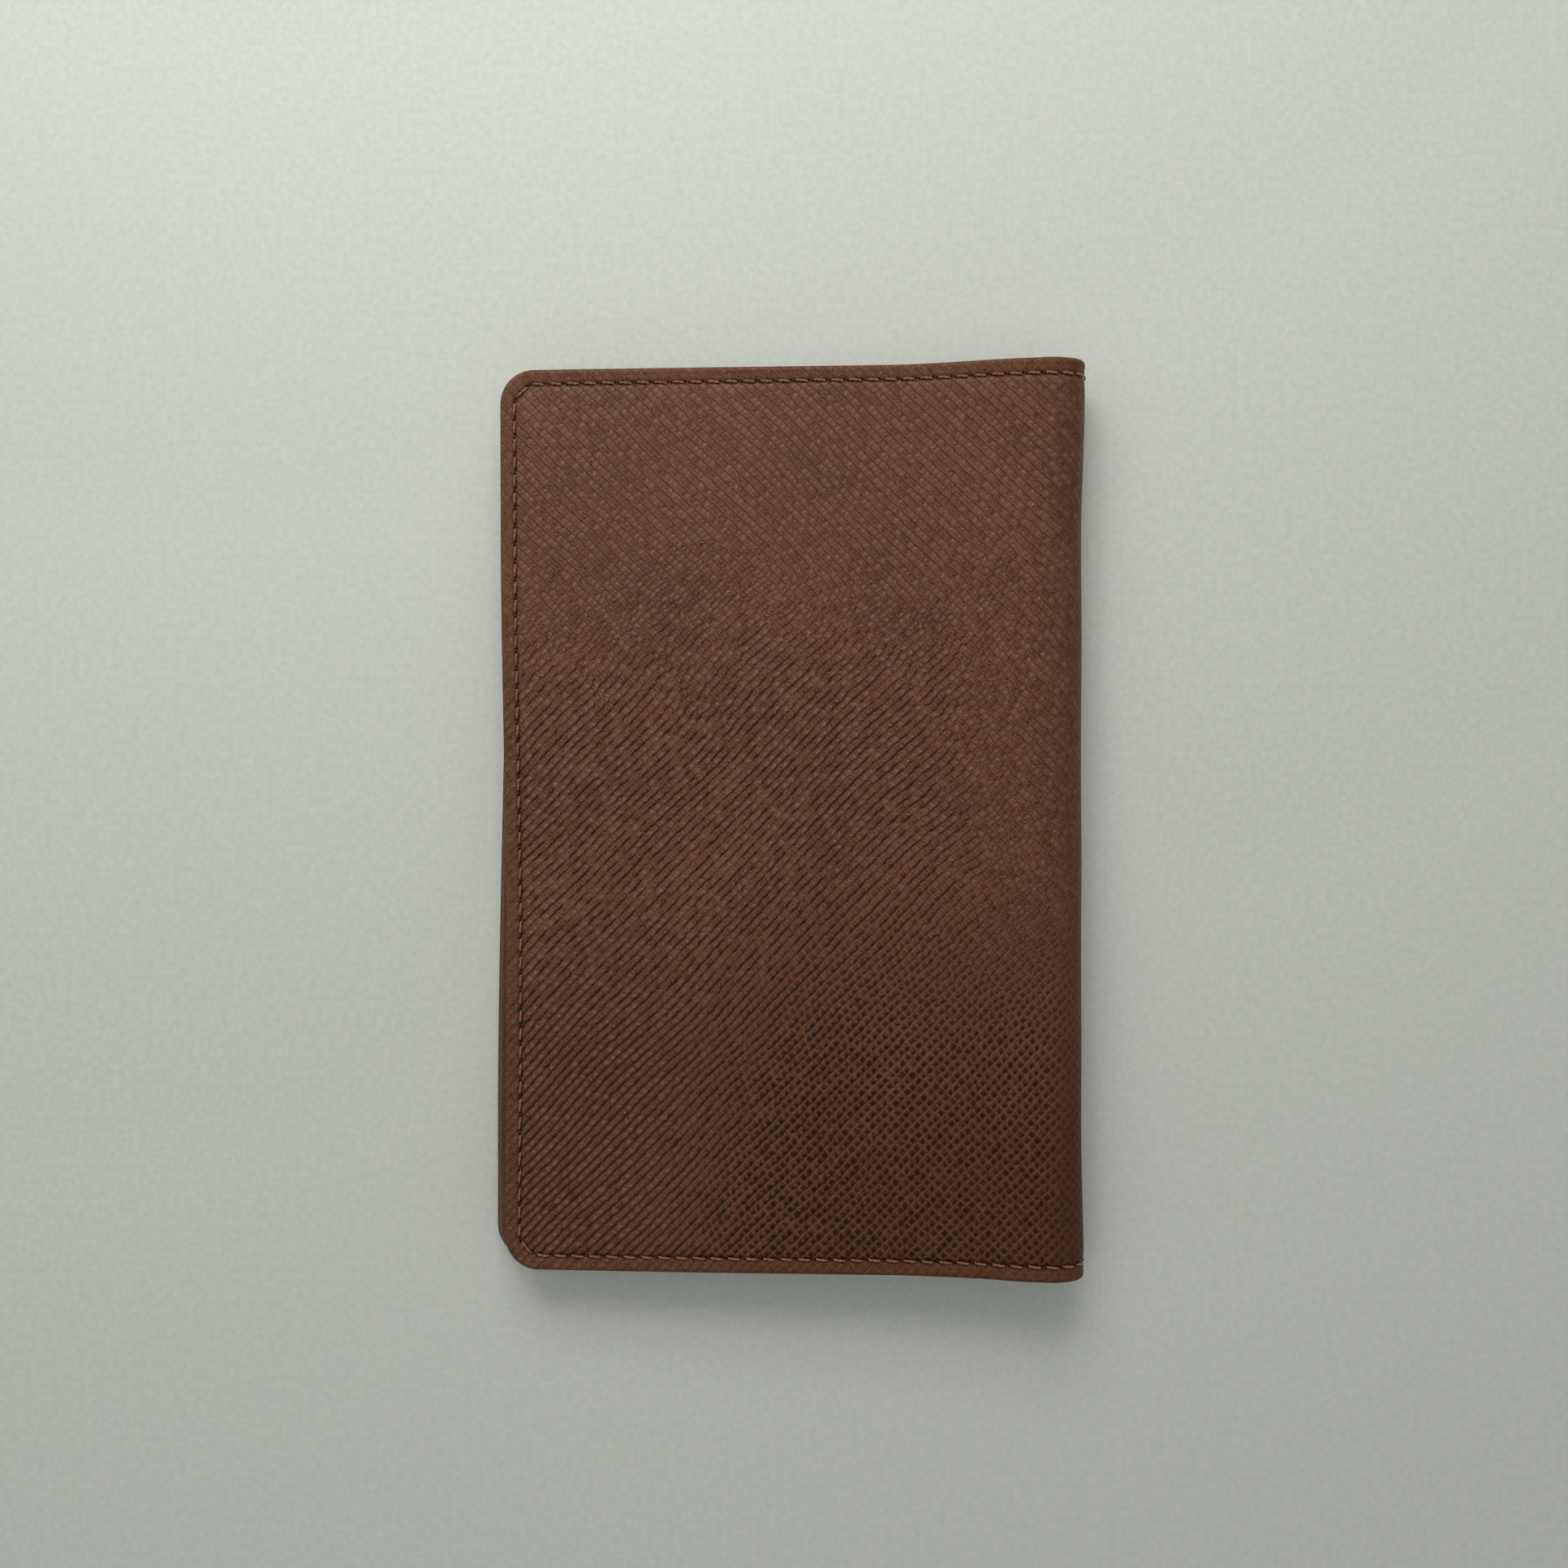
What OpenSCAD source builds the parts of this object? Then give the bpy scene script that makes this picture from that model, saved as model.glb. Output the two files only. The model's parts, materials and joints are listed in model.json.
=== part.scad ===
// Bifold leather passport holder, closed, lying on its back cover with the spine at +X.
// Both halves are stacks of flat layers, from the outside in: leather, board, lining, turned-in hem, sleeve.
// The spine is a chain of narrow flat strips, hinged to each other on the outer face of the leather.

/* [Holder] */
// Closed width, from the free edge of the back cover to the outside of the spine
closed_w = 92; // [90:0.5:100]
// Height of the covers along the spine
holder_h = 142; // [136:0.5:150]
// Radius of the corners at the free edges
corner_r = 5.4; // [4:0.1:8]

/* [Spine] */
// Distance from the centre of the fold to the outside of the spine
spine_r = 5.5; // [5.3:0.1:6.5]
// Gap between the inner faces of the two halves at the free edges, when closed
edge_gap = 0.7; // [0.7:0.1:1.5]
// How far the front cover's free edge lies behind that of the back cover
front_setback = 0.3; // [0:0.1:1]
// Gap between neighbouring strips of the spine
strip_gap = 0.24; // [0.2:0.02:0.4]

/* [Layers] */
// Thickness of the outer leather
leather_t = 1.0; // [0.8:0.1:1.2]
// Thickness of the stiffening board
board_t = 0.5; // [0.4:0.1:0.7]
// Thickness of the cloth lining
lining_t = 0.3; // [0.2:0.1:0.4]
// Thickness of the leather turned in around the edges, which is also the depth of the passport slot
hem_t = 0.6; // [0.5:0.1:0.8]
// Thickness of the sleeve's leather
sleeve_t = 0.8; // [0.6:0.1:0.9]

/* [Edges] */
// Width of the leather wrapped around the edge of the board
bead_w = 2.0; // [1.5:0.1:3]
// Width of the turned-in margin
hem_w = 9; // [7:0.5:12]
// How far the board stops short of the fold
board_setback = 0.6; // [0:0.1:2]
// Play around the board and the lining, and from the rim to the sleeve's cut edge
inset_play = 0.1; // [0.05:0.05:0.3]
// Distance from the rim to the cut edge of a sleeve
sleeve_inset = 0.6; // [0.4:0.1:1]

/* [Seams] */
// Distance from the rim to the seam
seam_inset = 2.1; // [1.8:0.1:3]
// How far the seam cuts across each rounded corner
seam_corner = 4; // [3:0.5:6]
// Distance from one stitch to the next
stitch_pitch = 2.8; // [2:0.1:4]
// Length of thread that shows in one stitch
stitch_l = 1.6; // [1:0.1:1.9]
// Width of the thread
thread_w = 0.5; // [0.4:0.05:0.6]
// Height of the thread lying in its groove
thread_h = 0.3; // [0.2:0.05:0.4]
// Play on each side of the thread in its groove
groove_play = 0.06; // [0.04:0.01:0.1]
// Depth of the groove that the thread lies in
groove_depth = 0.34; // [0.3:0.02:0.5]

/* [Inside] */
// Width of the passport sleeves, from the free edge to the mouth
sleeve_w = 74; // [60:1:76]
// Width of the card pockets
pocket_w = 58; // [56:1:60]
// Distance from the free edge to the card pockets
pocket_x = 14; // [13.5:0.5:15]
// Height of the bottom edge of the pockets above the middle of the cover
pocket_bottom = -50; // [-55:1:-45]
// Thickness of the thin leather of the pockets
pocket_t = 0.35; // [0.3:0.05:0.35]
// Distance between the tops of two pockets
pocket_step = 14; // [10:1:18]
// Height of the top edge of the lowest pocket above the middle of the cover
pocket_low_top = 10; // [5:1:15]
// How far each pocket reaches down behind the one in front of it
pocket_lap = 8; // [5:1:10]
// Width of the sewn margin of a pocket
pocket_margin = 3; // [2:0.5:4]

/* [Hidden] */
$fn = 48;
strips = 3;
half_h = holder_h / 2;

// Fold: the back cover lies flat, and each strip and then the front cover turns on by one bend
cover_l = closed_w - spine_r;
stack_t = leather_t + board_t + lining_t + hem_t + sleeve_t;
closed_tilt = asin((2 * (spine_r - stack_t) - edge_gap) / cover_l);
bend = (180 + closed_tilt) / (strips + 1);
fold_x = closed_w / 2 - spine_r;

// Heights of the layers above the outer face of their half
board_z = leather_t;
lining_z = board_z + board_t;
hem_z = lining_z + lining_t;
sleeve_z = hem_z + hem_t;
pocket_z = sleeve_z + sleeve_t;
pocket_groove = 0.2;
pocket_thread = 0.18;

// Heights in the spine, which has no board
spine_lining_z = leather_t;
spine_hem_z = spine_lining_z + lining_t;
spine_top_z = spine_hem_z + hem_t;

// Line of the seam along the top edge, and the two sides of the card pockets
seam_y = half_h - seam_inset;
pocket_x0 = -cover_l + pocket_x;
pocket_x1 = pocket_x0 + pocket_w;

leather_color = [0.42, 0.26, 0.17];
inner_color = [0.34, 0.20, 0.13];
board_color = [0.62, 0.58, 0.50];
lining_color = [0.24, 0.17, 0.13];
thread_color = [0.62, 0.38, 0.20];

// Half the width of a strip, or how far a cover reaches past the fold, at height z above the outer face
function half_strip(z) = (spine_r - z) * tan(bend / 2) - strip_gap / 2 / cos(bend / 2);

// Moves a layer from above the back cover to the strip or cover that lies i bends further round the fold
module at_fold(i)
    translate([fold_x, 0, spine_r])
        rotate([0, -bend * i, 0])
            translate([0, 0, -spine_r])
                children();

module back_half()
    at_fold(0) children();

module front_half()
    at_fold(strips + 1) mirror([1, 0, 0]) children();

// Extrudes an outline in X and Z along the height of the holder
module along_y(y0, y1)
    translate([0, y1, 0])
        rotate([90, 0, 0])
            linear_extrude(y1 - y0) children();

// Outline of a cover with two round corners at the free edge, drawn in by inset, up to x1
module cover_outline(inset, x0, x1) {
    r = max(corner_r - inset, 0.4);
    left = x0 + inset;
    top = half_h - inset;
    translate([left + r, -top]) square([x1 - left - r, 2 * top]);
    translate([left, -top + r]) square([r + 1, 2 * (top - r)]);
    for (side = [-1, 1]) translate([left + r, side * (top - r)]) circle(r);
}

// Flat layer of a cover between two heights
module cover_layer(z0, z1, inset, x0, x1)
    translate([0, 0, z0])
        linear_extrude(z1 - z0) cover_outline(inset, x0, x1);

// Space on the cover's side of the plane that splits the first bend in half
module hinge_side(z0, z1, x0)
    along_y(-half_h - 1, half_h + 1)
        polygon([[x0 - 1, z0], [half_strip(z0), z0], [half_strip(z1), z1], [x0 - 1, z1]]);

// Layer of one strip of the spine, with edges on the planes that split its bends in half
module strip_layer(z0, z1, y0, y1)
    along_y(y0, y1)
        polygon([[-half_strip(z0), z0], [half_strip(z0), z0], [half_strip(z1), z1], [-half_strip(z1), z1]]);

// Straight bar with its middle line from a to b on a face at height z
module seam_bar(a, b, w, z0, z1) {
    run = b - a;
    translate([a[0], a[1], z0])
        rotate([0, 0, atan2(run[1], run[0])])
            translate([0, -w / 2, 0])
                cube([norm(run), w, z1 - z0]);
}

// Stitches spread evenly from a to b
module stitch_row(a, b, z0, z1) {
    run = b - a;
    count = max(1, round(norm(run) / stitch_pitch));
    dir = run / norm(run);
    for (i = [0:count - 1]) {
        mid = a + run * (i + 0.5) / count;
        seam_bar(mid - dir * stitch_l / 2, mid + dir * stitch_l / 2, thread_w, z0, z1);
    }
}

// Corner points of the edge seam of a half whose free edge is at x, ending at x1 on both sides
function edge_seam(x, x1) = [
    [x1, seam_y],
    [x + seam_corner, seam_y],
    [x, seam_y - seam_corner],
    [x, -seam_y + seam_corner],
    [x + seam_corner, -seam_y],
    [x1, -seam_y]];

// Groove along a seam, cut from height z0 to z1, with a little extra at its open ends
module seam_groove(points, z0, z1) {
    w = thread_w + 2 * groove_play;
    for (i = [0:len(points) - 2]) {
        dir = (points[i + 1] - points[i]) / norm(points[i + 1] - points[i]);
        seam_bar(points[i] - dir * w / 2, points[i + 1] + dir * w / 2, w, z0, z1);
    }
}

module seam_stitches(points, z0, z1)
    for (i = [0:len(points) - 2]) stitch_row(points[i], points[i + 1], z0, z1);

// Outer leather of a cover, wrapped around three edges of the board and turned in as a hem
module cover_leather(x0) {
    window_x1 = half_strip(0) + 1;
    difference() {
        intersection() {
            cover_layer(0, sleeve_z, 0, x0, window_x1);
            hinge_side(0, sleeve_z, x0);
        }
        cover_layer(board_z, hem_z, bead_w, x0, window_x1 + 1);
        cover_layer(hem_z, sleeve_z + 1, hem_w, x0, window_x1 + 1);
        seam_groove(edge_seam(x0 + seam_inset, window_x1), -1, groove_depth);
    }
}

// Board that keeps a cover flat
module cover_board(x0)
    cover_layer(board_z, lining_z, bead_w + inset_play, x0, -board_setback);

// Lining cloth of a cover, over the board and under the hem
module cover_lining(x0)
    intersection() {
        cover_layer(lining_z, hem_z, bead_w + inset_play, x0, half_strip(0) + 1);
        hinge_side(lining_z, hem_z, x0);
    }

// Sleeve that takes one cover of the passport, sewn to the hem on three sides
module cover_sleeve(x0) {
    mouth_x = x0 + sleeve_w;
    difference() {
        cover_layer(sleeve_z, pocket_z, sleeve_inset, x0, mouth_x);
        seam_groove(edge_seam(x0 + seam_inset, mouth_x + 1), pocket_z - groove_depth, pocket_z + 1);
    }
}

// Thread of a cover's edge seam: outer row in the leather, inner row in the sleeve
module edge_stitches(x0) {
    outer = edge_seam(x0 + seam_inset, half_strip(0));
    inner = edge_seam(x0 + seam_inset, x0 + sleeve_w - stitch_pitch / 2);
    seam_stitches(outer, groove_depth - thread_h, groove_depth);
    seam_stitches(inner, pocket_z - groove_depth, pocket_z - groove_depth + thread_h);
}

// One strip of the spine's leather, with its two ends turned in over the lining
module strip_leather() {
    difference() {
        strip_layer(0, spine_top_z, -half_h, half_h);
        translate([-spine_r, -half_h + bead_w, spine_lining_z])
            cube([2 * spine_r, holder_h - 2 * bead_w, lining_t]);
        translate([-spine_r, -half_h + hem_w, spine_hem_z])
            cube([2 * spine_r, holder_h - 2 * hem_w, hem_t + 1]);
        for (side = [-1, 1])
            seam_groove([[-spine_r, side * seam_y], [spine_r, side * seam_y]], -1, groove_depth);
    }
}

module strip_lining()
    strip_layer(spine_lining_z, spine_hem_z, -half_h + bead_w + inset_play, half_h - bead_w - inset_play);

// The stitches at the two ends of a strip
module strip_stitches()
    for (side = [-1, 1])
        stitch_row([-half_strip(0), side * seam_y], [half_strip(0), side * seam_y],
            groove_depth - thread_h, groove_depth);

// Card pocket number i from the top: a thin panel that stands i layers above the sleeve
function pocket_top(i) = pocket_low_top + (2 - i) * pocket_step;
function pocket_end(i) = i == 2 ? pocket_bottom : pocket_top(i + 1) - pocket_lap;
function pocket_face(i) = pocket_z + i * pocket_t;

// Line of the seam down one side of a pocket, and for the lowest one along its bottom too
function pocket_side(i, side) =
    let (x = side < 0 ? pocket_x0 + pocket_margin / 2 : pocket_x1 - pocket_margin / 2)
    [[x, pocket_top(i) - pocket_margin / 2], [x, i == 2 ? pocket_bottom + pocket_margin : pocket_top(i + 1) + 1]];
pocket_foot = [[pocket_x0 + pocket_margin, pocket_bottom + pocket_margin / 2],
    [pocket_x1 - pocket_margin, pocket_bottom + pocket_margin / 2]];

module card_pocket(i) {
    face = pocket_face(i);
    difference() {
        union() {
            translate([pocket_x0, pocket_end(i), face])
                cube([pocket_w, pocket_top(i) - pocket_end(i), pocket_t]);
            if (i > 0)
                // sewn margins that reach down to the sleeve below the pocket behind
                for (x = [pocket_x0, pocket_x1 - pocket_margin])
                    translate([x, pocket_end(i), pocket_z])
                        cube([pocket_margin, pocket_end(i - 1) - inset_play - pocket_end(i), face - pocket_z]);
            if (i == 2)
                translate([pocket_x0, pocket_bottom, pocket_z])
                    cube([pocket_w, pocket_margin, face - pocket_z]);
        }
        for (side = [-1, 1])
            seam_groove(pocket_side(i, side), face + pocket_t - pocket_groove, face + 1);
        if (i == 2)
            seam_groove(pocket_foot, face + pocket_t - pocket_groove, face + 1);
    }
}

module pocket_stitches()
    for (i = [0:2]) {
        floor_z = pocket_face(i) + pocket_t - pocket_groove;
        for (side = [-1, 1]) seam_stitches(pocket_side(i, side), floor_z, floor_z + pocket_thread);
        if (i == 2) seam_stitches(pocket_foot, floor_z, floor_z + pocket_thread);
    }

// Free edge of each half, measured from the fold
back_x0 = -cover_l;
front_x0 = -cover_l + front_setback;

module back_cover_leather() color(leather_color) back_half() cover_leather(back_x0);
module back_stiffener() color(board_color) back_half() cover_board(back_x0);
module back_lining() color(lining_color) back_half() cover_lining(back_x0);
module back_sleeve() color(inner_color) back_half() cover_sleeve(back_x0);
module back_edge_stitches() color(thread_color) back_half() edge_stitches(back_x0);

module spine_leather(i) color(leather_color) at_fold(i) strip_leather();
module spine_lining(i) color(lining_color) at_fold(i) strip_lining();
module spine_stitches(i) color(thread_color) at_fold(i) strip_stitches();

module front_cover_leather() color(leather_color) front_half() cover_leather(front_x0);
module front_stiffener() color(board_color) front_half() cover_board(front_x0);
module front_lining() color(lining_color) front_half() cover_lining(front_x0);
module front_sleeve() color(inner_color) front_half() cover_sleeve(front_x0);
module front_edge_stitches() color(thread_color) front_half() edge_stitches(front_x0);
module front_pocket(i) color(inner_color) front_half() card_pocket(i);
module card_pocket_stitches() color(thread_color) front_half() pocket_stitches();

back_cover_leather();
back_stiffener();
back_lining();
back_sleeve();
back_edge_stitches();
spine_leather(1);  // spine_leather_1
spine_leather(2);  // spine_leather_2
spine_leather(3);  // spine_leather_3
spine_lining(1);  // spine_lining_1
spine_lining(2);  // spine_lining_2
spine_lining(3);  // spine_lining_3
spine_stitches(1);  // spine_stitches_1
spine_stitches(2);  // spine_stitches_2
spine_stitches(3);  // spine_stitches_3
front_cover_leather();
front_stiffener();
front_lining();
front_sleeve();
front_edge_stitches();
front_pocket(0);  // card_pocket_upper
front_pocket(1);  // card_pocket_middle
front_pocket(2);  // card_pocket_lower
card_pocket_stitches();
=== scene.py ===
# The look of the passport holder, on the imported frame. Its shapes are reckoned in mm.
import json
import math

import bmesh
import bpy
import numpy as np
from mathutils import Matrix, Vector


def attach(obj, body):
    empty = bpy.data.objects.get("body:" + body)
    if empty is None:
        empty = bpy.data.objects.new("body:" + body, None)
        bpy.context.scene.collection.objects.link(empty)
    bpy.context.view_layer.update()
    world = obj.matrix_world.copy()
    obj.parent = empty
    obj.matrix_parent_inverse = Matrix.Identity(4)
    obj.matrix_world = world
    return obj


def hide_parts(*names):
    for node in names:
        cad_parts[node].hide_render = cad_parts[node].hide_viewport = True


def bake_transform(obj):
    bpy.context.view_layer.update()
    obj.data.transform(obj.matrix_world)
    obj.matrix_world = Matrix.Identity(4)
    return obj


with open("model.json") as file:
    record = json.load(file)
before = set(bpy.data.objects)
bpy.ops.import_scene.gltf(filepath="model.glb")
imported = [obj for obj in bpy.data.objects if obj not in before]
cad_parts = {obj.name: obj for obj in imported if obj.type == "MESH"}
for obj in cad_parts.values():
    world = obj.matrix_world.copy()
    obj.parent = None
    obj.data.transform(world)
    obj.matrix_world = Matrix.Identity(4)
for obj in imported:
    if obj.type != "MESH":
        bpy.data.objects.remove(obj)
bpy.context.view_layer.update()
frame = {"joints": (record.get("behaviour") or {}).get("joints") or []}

# ---------------------------------------------------------------- sizes, in mm, as in the CAD model
COVER = 86.5           # back cover, from its free edge to the fold
COVER_F = 86.2         # front cover
HALF = 71.0            # half the height
R = 5.5                # outside radius of the fold
FOLD_X = 40.5          # where the fold begins
CORNER = 5.4           # radius of a cover's corners
BEND = math.radians(frame["joints"][0]["range_deg"][1])
STRIPS = 3             # rigid strips between the covers
TURN = BEND * (STRIPS + 1)
ARC = R * TURN
FOLD_F = COVER + ARC   # where the front cover begins
END = FOLD_F + COVER_F
SEAM = 2.45            # seam's distance from the rim
SEAM_CUT = 2.4         # how far the seam cuts a corner
PITCH = 2.8            # from one stitch to the next
HEM_W = 9.0            # width of the turned-in margin
BEAD = 2.1             # how far the leather wraps round the board's edge
GAP = 0.15             # between the leather's wrapped edge and the lining
LIE = 0.17             # the holder rests on the thread of its back seam
RIM = 0.75             # how far in the rounding of the rim reaches
SLEEVE = 74.0          # a sleeve's mouth, from the free edge
SLEEVE_LOW, SLEEVE_TOP, SLEEVE_ROUND = 2.43, 3.2, 0.35

# heights above the leather's outside
LEATHER_TOP, LINING_LOW, LINING_TOP, HEM_TOP = 1.0, 1.5, 1.8, 2.4
BOARD_THICK = 0.5      # thickness that the fold lacks, because the boards end before it

# The sheet has four zones, one round each hinge. Inside the fold they meet in the middle of a strip.
ZONE_U = [0.0] + [COVER + R * BEND * i for i in (1, 2, 3)] + [END]
BACK, FRONT = 0, 3
rng = np.random.default_rng(7)


def smooth(x, lo, hi):
    t = np.clip((x - lo) / (hi - lo), 0, 1)
    return t * t * (3 - 2 * t)


def lift(s, v):
    """How far the front cover stands off its plane: a crown, and a slump at the lower spine corner."""
    crown = 0.55 * np.sin(np.pi * np.clip(s / COVER_F, 0, 1)) * (1 - (v / 80) ** 2)
    slump = -0.55 * smooth(-v, 20, 71) * smooth(70 - s, 0, 60) * smooth(s, 0, 12)
    curl = 0.35 * smooth(v, 30, 71) * smooth(s, 20, 80)
    return (crown + slump + curl) * smooth(s, 0, 10)


def skin(u, v, h):
    """World place, in mm, of a point of the sheet.

    u runs across the sheet from the back's free edge, v up the spine, and h inwards."""
    u, v, h = np.broadcast_arrays(np.asarray(u, float), np.asarray(v, float), np.asarray(h, float))
    mid = COVER + ARC / 2
    near = smooth(-np.abs(u - mid), -34, -ARC / 2)
    a = np.clip((u - COVER) / R, 0, TURN)
    belly = np.sin(np.pi * a / TURN) ** 3
    # near the fold the two ends of the sheet reach further out, as in the photograph
    y = v + (near * np.where(v > 0, 0.85, 0.55) + 0.55 * belly) * np.sign(v) * (np.abs(v) / HALF) ** 4
    flare = 0.6 * smooth(v, 44, 70) + 0.35 * smooth(-v, 44, 70)
    r = R + (flare + 0.12) * np.sin(np.pi * a / TURN) ** 2 - h
    x = FOLD_X + r * np.sin(a)
    z = LIE + R - r * np.cos(a)
    back = np.clip(COVER - u, 0, None)
    x = x - back - 1.45 * smooth(-v, -50, 50) * (back / COVER)
    s = np.clip(u - FOLD_F, 0, None)
    skew = 0.9 * smooth(-v, -45, 20) - 0.2 * smooth(-v, 30, 65)
    x = x + s * math.cos(TURN) + skew * s / COVER_F
    z = z + s * math.sin(TURN) + lift(s, v)
    return np.stack([x, y, z], -1)


# ---------------------------------------------------------------- mesh helpers
class Build:
    """Collects points (u, v, h) of the sheet with extra values, and groups of faces."""

    def __init__(self):
        self.p, self.grain, self.extra, self.f, self.n = [], [], [], [], 0

    def points(self, u, v, h, extra=None, grain=None):
        """grain gives the place of the points in the material's pattern, where it isn't (u, v)."""
        shape = np.broadcast(u, v, h).shape
        pts = np.stack([np.broadcast_to(a, shape).astype(float) for a in (u, v, h)], -1).reshape(-1, 3)
        if extra is None:
            extra = np.zeros((len(pts), 3))
        self.p.append(pts)
        self.grain.append(pts[:, :2] if grain is None else np.stack(grain, -1).reshape(-1, 2))
        self.extra.append(np.asarray(extra, float).reshape(-1, 3))
        idx = np.arange(self.n, self.n + len(pts)).reshape(shape)
        self.n += len(pts)
        return idx

    def quads(self, q, away):
        """away is "in" or "out" for the side that the faces look to, or points that they look away from."""
        if len(q):
            self.f.append((np.asarray(q, int).reshape(-1, 4), away))

    def grid(self, idx, use, away):
        a, b, c, d = idx[:-1, :-1], idx[1:, :-1], idx[1:, 1:], idx[:-1, 1:]
        m = use if use is not None else np.ones(a.shape, bool)
        self.quads(np.stack([a[m], b[m], c[m], d[m]], -1), away)

    def facing(self, q, away, co, p):
        """The faces q, turned over if they look the wrong way."""
        c = co[q]
        normal = np.cross(c[:, 2] - c[:, 0], c[:, 3] - c[:, 1])
        if isinstance(away, str):
            mid = p[q].mean(1)
            step = 0.1 if away == "in" else -0.1
            ref = skin(mid[:, 0], mid[:, 1], mid[:, 2] + step) - skin(mid[:, 0], mid[:, 1], mid[:, 2])
        else:
            ref = c.mean(1) - away
        return q[:, ::-1] if (normal * ref).sum() < 0 else q

    def make(self, name, material):
        p = np.concatenate(self.p)
        co = skin(p[:, 0], p[:, 1], p[:, 2])
        q = np.concatenate([self.facing(q, away, co, p) for q, away in self.f])
        me = bpy.data.meshes.new(name)
        me.vertices.add(len(co))
        me.vertices.foreach_set("co", (co / 1000).astype(np.float32).ravel())
        me.loops.add(q.size)
        me.loops.foreach_set("vertex_index", q.astype(np.int32).ravel())
        me.polygons.add(len(q))
        me.polygons.foreach_set("loop_start", np.arange(0, q.size, 4, dtype=np.int32))
        me.polygons.foreach_set("loop_total", np.full(len(q), 4, np.int32))
        me.polygons.foreach_set("use_smooth", np.ones(len(q), bool))
        # the pattern's place, seen from outside with the front cover's x to the right
        grain = np.concatenate(self.grain)
        place = np.stack([END - grain[:, 0], grain[:, 1], p[:, 2]], -1)
        for attribute, values in (("sheet", place), ("seam", np.concatenate(self.extra))):
            at = me.attributes.new(attribute, "FLOAT_VECTOR", "POINT")
            at.data.foreach_set("vector", values.astype(np.float32).ravel())
        me.update(calc_edges=True)
        me.validate()
        ob = bpy.data.objects.new(name, me)
        bpy.context.scene.collection.objects.link(ob)
        me.materials.append(material)
        return ob


def merged(*groups):
    return np.unique(np.round(np.concatenate(groups), 5))


def lines(*spans):
    """Grid lines from (start, stop, step) spans, each span divided evenly."""
    out = []
    for a, b, step in spans:
        n = max(1, int(round(abs(b - a) / step)))
        out.append(np.linspace(a, b, n + 1))
    return merged(*out)


def rounded(p, v, radius=CORNER):
    """Rounds the corners of the rectangle p > 0, |v| < HALF: squares about a corner's centre become arcs."""
    a = (radius - p) / radius
    b = (np.abs(v) - (HALF - radius)) / radius
    t, r = np.maximum(a, b), np.hypot(a, b)
    inside = (a > 0) & (b > 0)
    f = np.where(inside, t / np.maximum(r, 1e-9), 1.0)
    return (np.where(inside, radius - a * f * radius, p),
            np.where(inside, np.sign(v) * (HALF - radius + b * f * radius), v))


# ---------------------------------------------------------------- the seam
def seam_path(zone):
    """The seam of a cover, in (p, v): p from the free edge, as far as the zone reaches."""
    reach = ZONE_U[1] if zone == BACK else END - ZONE_U[3]
    x, y = SEAM + SEAM_CUT, HALF - SEAM
    return np.array([[reach, y], [x, y], [SEAM, y - SEAM_CUT], [SEAM, -y + SEAM_CUT], [x, -y], [reach, -y]])


def seam_of(p, v, zone):
    """(stitches along, signed distance from) the seam, for points of a zone. Inside the seam is positive."""
    if zone not in (BACK, FRONT):
        a, b = ZONE_U[zone], ZONE_U[zone + 1]
        return (p - a) / (b - a) * round((b - a) / PITCH), HALF - np.abs(v) - SEAM
    best = np.full(np.shape(p), 1e9)
    along = np.zeros(np.shape(p))
    start = 0.0
    path = seam_path(zone)
    for a, b in zip(path[:-1], path[1:]):
        d = b - a
        length = np.hypot(*d)
        t = np.clip(((p - a[0]) * d[0] + (v - a[1]) * d[1]) / length ** 2, 0, 1)
        dist = np.hypot(p - a[0] - t * d[0], v - a[1] - t * d[1])
        n = max(1, round(length / PITCH))
        hit = dist < best - 1e-9
        best = np.where(hit, dist, best)
        along = np.where(hit, start + t * n, along)
        start += n
    edge = np.minimum(p, HALF - np.abs(v))
    corner = (p < SEAM + SEAM_CUT) & (np.abs(v) > HALF - SEAM - SEAM_CUT)
    cut = (p - SEAM) + (HALF - np.abs(v) - SEAM) - SEAM_CUT
    inner = np.where(corner, cut > 0, edge > SEAM)
    return along, np.where(inner, best, -best)


def sheet_paths(zone):
    """The outer seam of a zone in (u, v)."""
    a, c, y = ZONE_U[zone], ZONE_U[zone + 1], HALF - SEAM
    if zone in (BACK, FRONT):
        return [[(p if zone == BACK else END - p, v) for p, v in seam_path(zone)]]
    return [[(a, y), (c, y)], [(a, -y), (c, -y)]]


# ---------------------------------------------------------------- the leather
def wave(u, v):
    """Low unevenness of the leather."""
    broad = 0.035 * np.sin(u / 7.3 + 1.1 * np.sin(v / 11)) * np.sin(v / 9.1 + 0.7)
    return broad + 0.03 * np.sin(u / 3.9 + v / 5.2)


def layers(u):
    """Heights of the lining's two faces and of the turned-in hem. The fold has no board."""
    f = smooth(u, COVER - 2.2, COVER - 0.4) * (1 - smooth(u, FOLD_F + 0.4, FOLD_F + 2.2))
    return LINING_LOW - BOARD_THICK * f, LINING_TOP - BOARD_THICK * f, HEM_TOP - BOARD_THICK * f


MARGIN = ((RIM, BEAD, 0.19), (BEAD, 3.4, 0.2), (3.4, 5.4, 0.33), (5.4, HEM_W, 0.45))   # fine at the seam
V_LINES = lines(*MARGIN)
V_LINES = merged(V_LINES - HALF, HALF - V_LINES, lines((HEM_W - HALF, HALF - HEM_W, 0.62)))


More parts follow.
